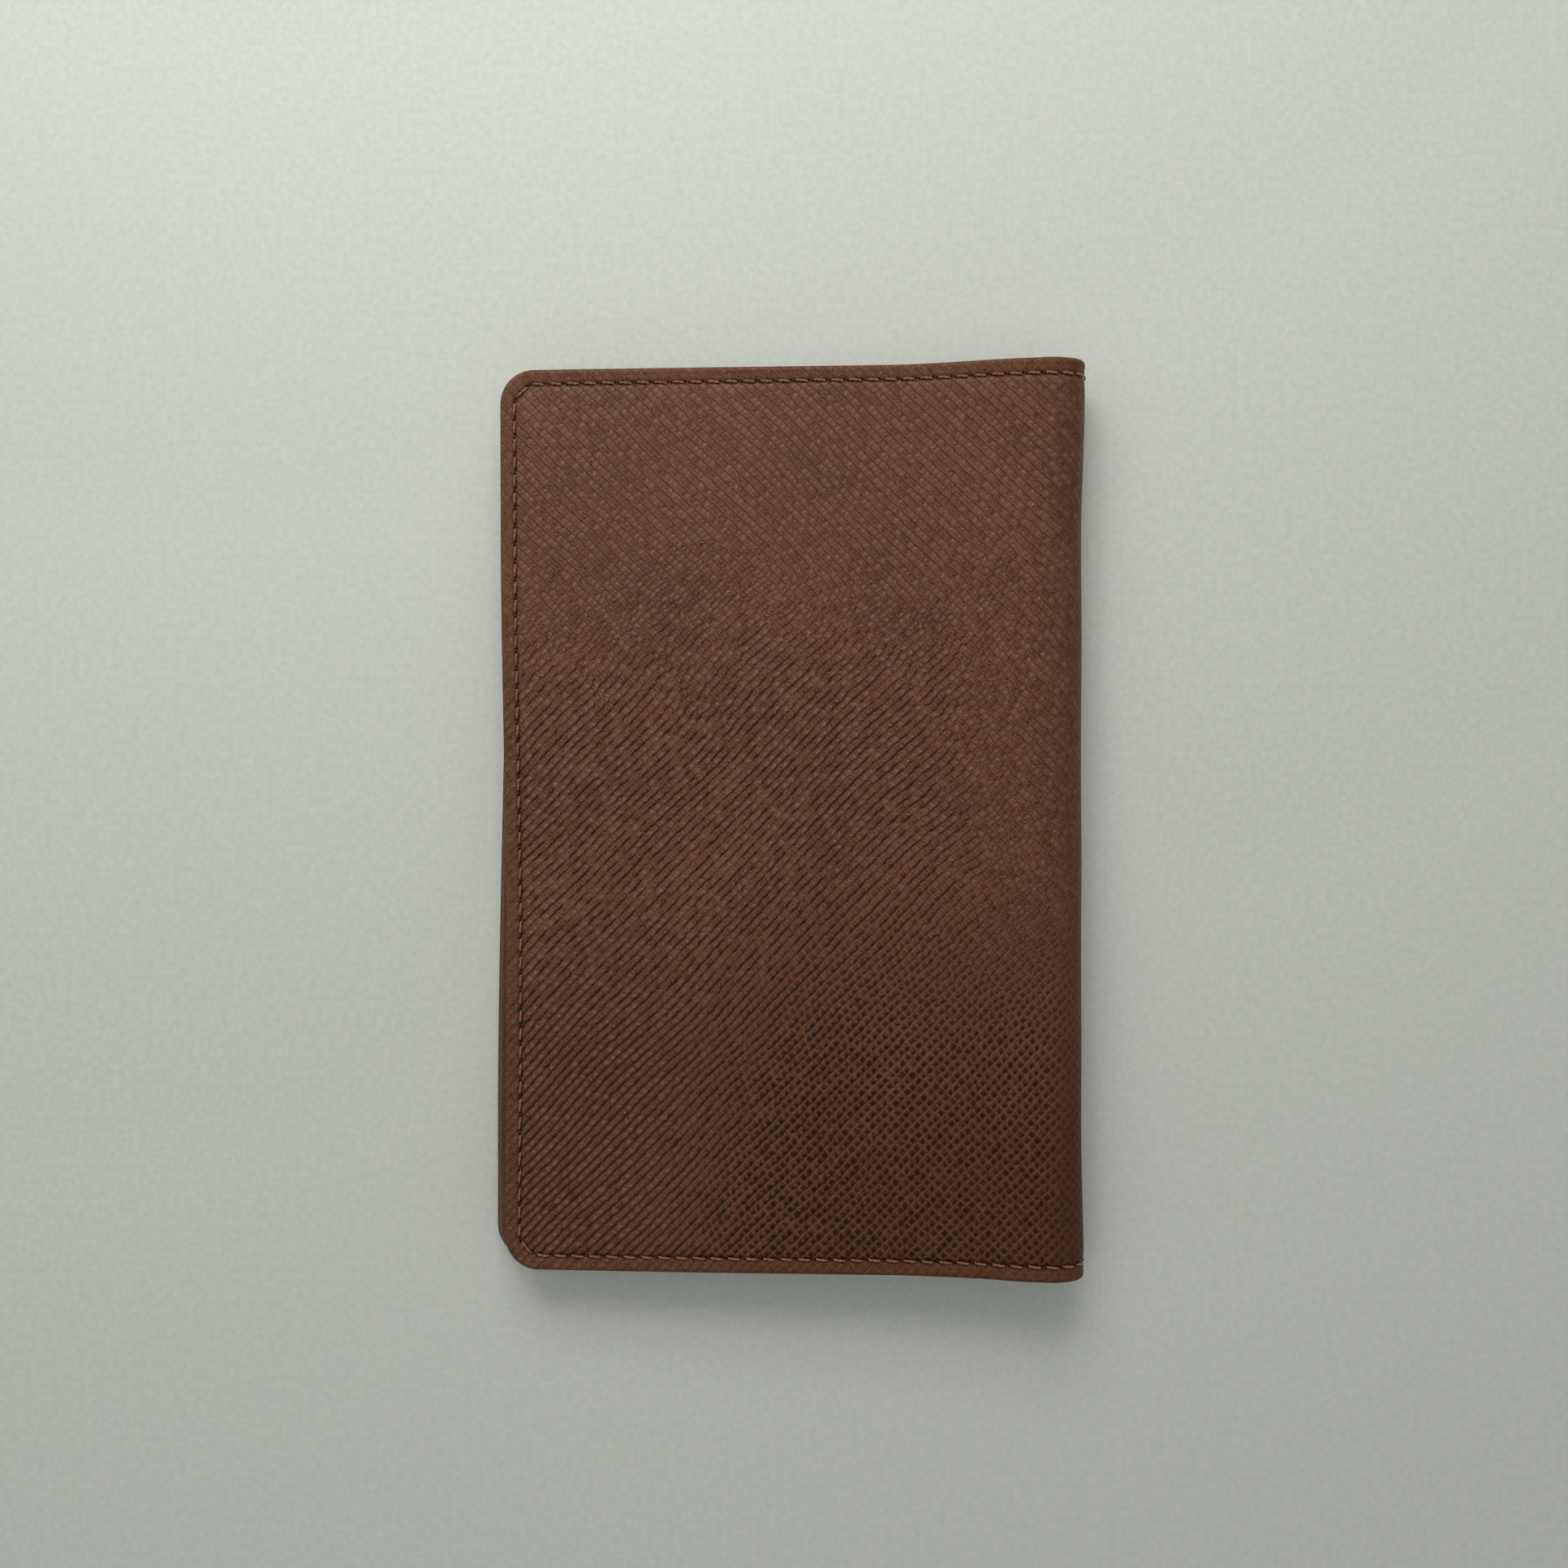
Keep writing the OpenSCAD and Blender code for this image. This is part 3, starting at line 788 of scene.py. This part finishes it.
def thread():
    s = Shade("seam_thread")
    along, turn, tone = s.split(s.attr("seam"))
    ply = s.math("SINE", along * 26.0 + turn * 2.0)
    fuzz = s.noise(s.join(along * 5.0, turn, tone), 2.0, 2.0)
    base = s.mix(s.step(ply, -1.0, 1.0), lin(120, 66, 33), lin(190, 120, 70))
    base = s.mix(s.step(tone, 0.0, 1.0) * 0.45, base, lin(128, 74, 40))
    base = s.mix(s.step(fuzz, 0.5, 0.7) * 0.35, base, lin(204, 144, 96))
    return s.set(Base_Color=base, Roughness=0.6, Normal=s.bump(ply + fuzz, 0.00003), Sheen_Weight=0.2)


def pale_floor():
    s = Shade("pale_floor")
    place = s.node("TexCoord", {}, "Object")
    speck = s.noise(place, 900.0, 3.0, 0.7)
    base = s.mix(s.step(speck, 0.3, 0.7), lin(206, 211, 204), lin(216, 220, 212))
    base = s.mix(s.step(s.noise(place, 6.0, 2.0), 0.3, 0.7, 0.0, 0.15), base, lin(204, 208, 204))
    return s.set(Base_Color=base, Roughness=0.92, Normal=s.bump(speck, 0.0001, 0.15))


LEATHER, INNER, CLOTH, BOARD, THREAD = CrossGrain().look(), inner_leather(), cloth(), board(), thread()


# ---------------------------------------------------------------- placing each piece, and hiding the CAD parts it covers
def place_zone(ob, zone, nodes):
    """Bakes a zone's place into its mesh and hides the CAD parts that it covers. Inside the fold its ends are
    the middles of two strips.
    """
    start = COVER - 2.0 if zone == BACK else ZONE_U[zone]
    end = FOLD_F + 2.0 if zone == FRONT else ZONE_U[zone + 1]
    ends = skin(np.array([start, end]), 0.0, 1.3) / 1000
    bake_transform(ob)
    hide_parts(*nodes)


def place_panel(ob, body, node):
    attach(ob, body)
    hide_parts(node)


# ---------------------------------------------------------------- leather and lining
LEATHER_PIECES = [
    ("leather_back", ["back_cover_leather"]),
    ("leather_spine_lower", ["spine_leather_1", "spine_leather_2"]),
    ("leather_spine_upper", ["spine_leather_3"]),
    ("leather_front", ["front_cover_leather"])]
for zone, (name, nodes) in enumerate(LEATHER_PIECES):
    place_zone(leather_zone(name, zone, LEATHER), zone, nodes)

LINING_PIECES = [
    ("lining_back", ["back_lining"]),
    ("lining_spine_lower", ["spine_lining_1", "spine_lining_2"]),
    ("lining_spine_upper", ["spine_lining_3"]),
    ("lining_front", ["front_lining"])]
for zone, (name, nodes) in enumerate(LINING_PIECES):
    ob = lining_zone(name, zone, CLOTH)
    place_zone(ob, zone, nodes)
(ZONE_U[1] - BEAD - GAP) / 1000
(END - BEAD - GAP - ZONE_U[3]) / 1000

# ---------------------------------------------------------------- boards, sleeves and card pockets
BOARD_EDGE = BEAD + 0.2          # a board's distance from the rim
BOARD_END = COVER - 0.8          # where it ends before the fold
BOARD_LOW, BOARD_TOP, BOARD_ROUND = 1.03, 1.47, 0.1
for half in ("back", "front"):
    ob = panel("board_" + half, half, lines((BOARD_EDGE, BOARD_END, 2.0)),
               lines((-HALF + BOARD_EDGE, HALF - BOARD_EDGE, 2.0)), BOARD_LOW, BOARD_TOP, BOARD_ROUND, BOARD)
    place_panel(ob, half, half + "_stiffener")


def sleeve_shape(p, _, off):
    """Dips along the seam, a creased line along the mouth and a slight swell between."""
    groove = -0.20 * np.exp(-(off / 0.4) ** 2)
    crease = -0.10 * np.exp(-((SLEEVE - p - 1.6) / 0.35) ** 2)
    swell = 0.05 * smooth(off, 0.4, 9) * smooth(SLEEVE - p, 2, 12)
    return groove + crease + swell


sleeve_edge = ((0.9, 1.4, 0.25), (1.4, 2.9, 0.19), (2.9, 6.0, 0.5))
sleeve_v = lines(*sleeve_edge)
sleeve_v = merged(sleeve_v - HALF, HALF - sleeve_v, lines((6.0 - HALF, HALF - 6.0, 1.0)))
sleeve_p = lines(*sleeve_edge, (6.0, SLEEVE - 3, 1.0), (SLEEVE - 3, SLEEVE - SLEEVE_ROUND, 0.2))
for half in ("back", "front"):
    ob = panel("sleeve_" + half, half, sleeve_p, sleeve_v, SLEEVE_LOW, SLEEVE_TOP, SLEEVE_ROUND, INNER,
               sleeve_shape)
    place_panel(ob, half, half + "_sleeve")

POCKET_S = (14.5, 72.5)          # near and far side of the pockets, from the fold
POCKET_W = POCKET_S[1] - POCKET_S[0]
POCKET_LOW, POCKET_STEP, POCKET_THICK, POCKET_ROUND = 3.22, 0.35, 0.33, 0.2
POCKET_SEAM = 1.5                # distance of the pockets' seams from their edges
POCKETS = [                      # with their lower and upper edges
    ("card_pocket_panel_upper", "card_pocket_upper", 16.0, 38.0),
    ("card_pocket_panel_middle", "card_pocket_middle", 2.0, 24.0),
    ("card_pocket_panel_lower", "card_pocket_lower", -50.0, 10.0)]


def pocket(name, y0, y1, low, sewn_foot):
    """A pocket's panel, with dips along its seams and a crease along its mouth."""
    def shape(p, v, _):
        s = END - p - FOLD_F
        side = np.minimum(s - POCKET_S[0], POCKET_S[1] - s)
        seam = -0.09 * np.exp(-((side - POCKET_SEAM) / 0.32) ** 2)
        crease = -0.08 * np.exp(-((y1 - v - 1.3) / 0.3) ** 2)
        foot = -0.09 * np.exp(-((v - y0 - POCKET_SEAM) / 0.32) ** 2) if sewn_foot else 0.0
        return seam + crease + foot

    s_lines = lines((POCKET_ROUND, 3.0, 0.2), (3.0, POCKET_W / 2, 1.2))
    s_lines = np.unique(np.concatenate([s_lines, POCKET_W - s_lines])) + POCKET_S[0]
    foot_step = 0.2 if sewn_foot else 0.7
    v_lines = lines((y0 + POCKET_ROUND, y0 + 3, foot_step), (y0 + 3, y1 - 2.5, 1.2),
                    (y1 - 2.5, y1 - POCKET_ROUND, 0.18))
    return panel(name, "front", np.sort(END - FOLD_F - s_lines), v_lines, low, low + POCKET_THICK,
                 POCKET_ROUND, INNER, shape, corners=False)


for i, (name, node, y0, y1) in enumerate(POCKETS):
    ob = pocket(name, y0, y1, POCKET_LOW + POCKET_STEP * i, i == 2)
    place_panel(ob, "front", node)


# ---------------------------------------------------------------- thread
def stitches(path):
    """Middles, directions and lengths of the stitches along a path, each segment divided evenly."""
    out = []
    for a, b in zip(path[:-1], path[1:]):
        a, b = np.array(a, float), np.array(b, float)
        length = np.hypot(*(b - a))
        n = max(1, round(length / PITCH))
        for k in range(n):
            out.append((a + (b - a) * (k + 0.5) / n, (b - a) / length, length / n))
    return out


THREAD_W, PLIES = 0.38, 2
STITCH, POCKET_STITCH = 2.10, 1.6   # length of a stitch that shows; the rest of the pitch is in the holes
OUTER_SUNK = 0.20                # how deep the outer stitches lie in their trough
SUNK, POCKET_SUNK = 0.16, 0.08   # how far below their face the inner stitches lie
DIP = 0.38                       # how far a stitch's ends sink in their holes


def strands(b, centre, direction, length, face, side, height=0.16):
    """One stitch: strands twisted round a line that comes out of one hole and goes into the next.

    face is the height of the leather's face; side is -1 on the outside and 1 on the inside."""
    n_along, n_round = 15, 7
    t = np.linspace(-1, 1, n_along)
    along = t * length / 2 * (1 + rng.normal(0, 0.02))
    across = 0.08 * np.sin(t * 1.7) + rng.normal(0, 0.015)
    rise = height * (1 - np.abs(t) ** 4) - DIP * np.abs(t) ** 9
    twist = rng.uniform(0, 6.28)
    tone = rng.uniform(0, 1)
    perp = np.array([-direction[1], direction[0]])
    radius = (THREAD_W * 0.33 * (1 - 0.5 * np.abs(t) ** 3))[:, None]
    turn = np.linspace(0, 2 * math.pi, n_round, endpoint=False)

    def spot(along, across, up):
        """(u, v, h) of a point of the stitch."""
        u, v = (centre[i] + direction[i] * along + perp[i] * across for i in (0, 1))
        return u, v, face + side * up

    for k in range(PLIES):
        angle = twist + 2 * math.pi * k / PLIES + t * 4.2
        lateral = across + np.cos(angle) * THREAD_W * 0.19
        up = rise + np.sin(angle) * THREAD_W * 0.12
        sideways, upwards = lateral[:, None] + np.cos(turn) * radius, up[:, None] + np.sin(turn) * radius
        place = spot(along[:, None], sideways, upwards)
        shape = (n_along, n_round)
        extra = [np.broadcast_to(a, shape) for a in (along[:, None], turn[None], tone)]
        idx = b.points(*place, np.stack(extra, -1))
        mid = skin(*spot(along, lateral, up))
        nxt = np.roll(idx, -1, axis=1)
        q = np.stack([idx[:-1], idx[1:], nxt[1:], nxt[:-1]], -1).reshape(-1, 4)
        b.quads(q, np.repeat((mid[:-1] + mid[1:]) / 2, n_round, axis=0))


def inner_face(u):
    """Height of the face that the thread lies on inside: the sleeve's, or the hem's where there is none."""
    return SLEEVE_TOP if min(u, END - u) < SLEEVE else float(layers(u)[2])


def seam_thread(name, zone):
    b = Build()
    for path in sheet_paths(zone):
        for centre, direction, pitch in stitches(path):
            length = STITCH * pitch / PITCH
            strands(b, centre, direction, length, OUTER_SUNK, -1)
            # none comes out inside where a sleeve's mouth crosses the seam
            if abs(min(centre[0], END - centre[0]) - SLEEVE) > 1.2:
                strands(b, centre + direction * pitch / 2, direction, length * 0.95,
                        inner_face(centre[0]) - SUNK, 1, height=0.13)
    return b.make(name, THREAD)


def pocket_thread(name):
    """The pockets' side seams, each down to the mouth of the next pocket, and the lowest one's foot."""
    b = Build()
    sides = (FOLD_F + POCKET_S[0] + POCKET_SEAM, FOLD_F + POCKET_S[1] - POCKET_SEAM)
    for i, (_, _, y0, y1) in enumerate(POCKETS):
        last = i == len(POCKETS) - 1
        foot = y0 + 3.0 if last else POCKETS[i + 1][3] + 1.0
        paths = [[(u, y1 - POCKET_SEAM), (u, foot)] for u in sides]
        if last:
            y = y0 + POCKET_SEAM
            paths.append([(FOLD_F + POCKET_S[0] + 3, y), (FOLD_F + POCKET_S[1] - 3, y)])
        face = POCKET_LOW + POCKET_STEP * i + POCKET_THICK
        for path in paths:
            for centre, direction, _ in stitches(path):
                strands(b, centre, direction, POCKET_STITCH, face - POCKET_SUNK, 1, height=0.04)
    return b.make(name, THREAD)


THREAD_PIECES = [
    ("seam_thread_back", ["back_edge_stitches"]),
    ("seam_thread_spine_lower", ["spine_stitches_1", "spine_stitches_2"]),
    ("seam_thread_spine_upper", ["spine_stitches_3"]),
    ("seam_thread_front", ["front_edge_stitches"])]
for zone, (name, nodes) in enumerate(THREAD_PIECES):
    place_zone(seam_thread(name, zone), zone, nodes)
place_panel(pocket_thread("card_pocket_thread"), "front", "card_pocket_stitches")

# ---------------------------------------------------------------- floor, light and camera
bpy.ops.mesh.primitive_plane_add(size=6, location=(0, 0, 0))
floor = bpy.context.object
floor.name = "floor"
floor.data.materials.append(pale_floor())

world = bpy.data.worlds.new("studio")
bpy.context.scene.world = world
world.use_nodes = True
sky = world.node_tree.nodes["Background"]
sky.inputs[0].default_value = (0.95, 0.97, 0.94, 1.0)
sky.inputs[1].default_value = 0.36


def area(name, place, aim, size, power, colour):
    data = bpy.data.lights.new(name, "AREA")
    data.shape, data.size, data.size_y = "RECTANGLE", size[0], size[1]
    data.energy, data.color = power, colour
    ob = bpy.data.objects.new(name, data)
    bpy.context.scene.collection.objects.link(ob)
    ob.location = place
    ob.rotation_euler = (Vector(aim) - Vector(place)).to_track_quat("-Z", "Y").to_euler()


area("window", (-0.07, 0.36, 0.28), (0, 0.03, 0), (0.34, 0.22), 1.36, (1.0, 0.985, 0.95))
area("fill", (-0.32, 0.05, 0.42), (0, 0, 0), (0.40, 0.40), 0.2, (0.98, 1.0, 0.97))

cam_data = bpy.data.cameras.new("camera")
cam = bpy.data.objects.new("camera", cam_data)
bpy.context.scene.collection.objects.link(cam)
cam.location = (-0.0010, 0.0057, 0.190)
cam_data.sensor_width = 36.0     # mm, as the lens
cam_data.lens = 26.608696
cam_data.clip_start, cam_data.clip_end = 0.01, 10.0
bpy.context.scene.camera = cam
bpy.context.scene.view_settings.view_transform = "Standard"
